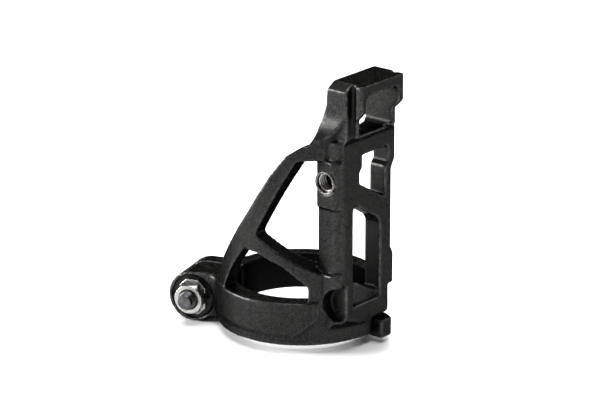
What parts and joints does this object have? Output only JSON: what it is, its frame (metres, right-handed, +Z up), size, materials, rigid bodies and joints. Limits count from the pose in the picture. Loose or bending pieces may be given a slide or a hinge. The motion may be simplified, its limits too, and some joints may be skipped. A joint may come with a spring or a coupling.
{
  "type": "front derailleur clamp bracket",
  "caption": "Hinged band clamp for a bicycle seat tube with an open-frame tower, threaded insert and top rail that carry a front derailleur.",
  "frame": {"origin": "on the seat tube's axis, level with the bottom of the fixed half ring", "axes": "+Z up along the seat tube; +X forward on the bicycle, towards the hinge and the top rail; -Y is the drive side"},
  "size_m": [0.0633, 0.044, 0.0744],
  "materials": {
    "black_alloy": "blasted black anodised",
    "dark_steel": "dark satin",
    "bolt_steel": "dark satin",
    "bright_steel": "plated satin",
    "insert_steel": "turned"
  },
  "bodies": {
    "bracket": {"bracket_body": "black_alloy", "hinge_pin": "dark_steel", "clamp_nut": "bright_steel", "nut_seat": "bright_steel", "threaded_insert": "insert_steel"},
    "band": {"band_half": "black_alloy"},
    "washer": {"bolt_washer": "dark_steel"},
    "bolt": {"clamp_bolt": "bolt_steel"}
  },
  "joints": [
    {"name": "band_swing", "type": "hinge", "parent": "bracket", "child": "band", "pos_m": [0.01968, 0.00502, 0.002], "axis": [0, 0, -1], "range_deg": [0, 5.1]},
    {"name": "bolt_travel", "type": "slide", "parent": "bracket", "child": "washer", "axis": [-0.2756, 0.9613, 0], "range_m": [0, 0.005]},
    {"name": "bolt_turn", "type": "hinge", "parent": "washer", "child": "bolt", "pos_m": [-0.02701, -0.00775, 0.0046], "axis": [-0.2756, 0.9613, 0], "range_deg": [0, 2250]}
  ],
  "couplings": [
    {"joint": "bolt_turn", "follows": "bolt_travel", "rad_per_m": 7853.9},
    {"joint": "band_swing", "follows": "bolt_travel", "rad_per_m": 17.8}
  ]
}
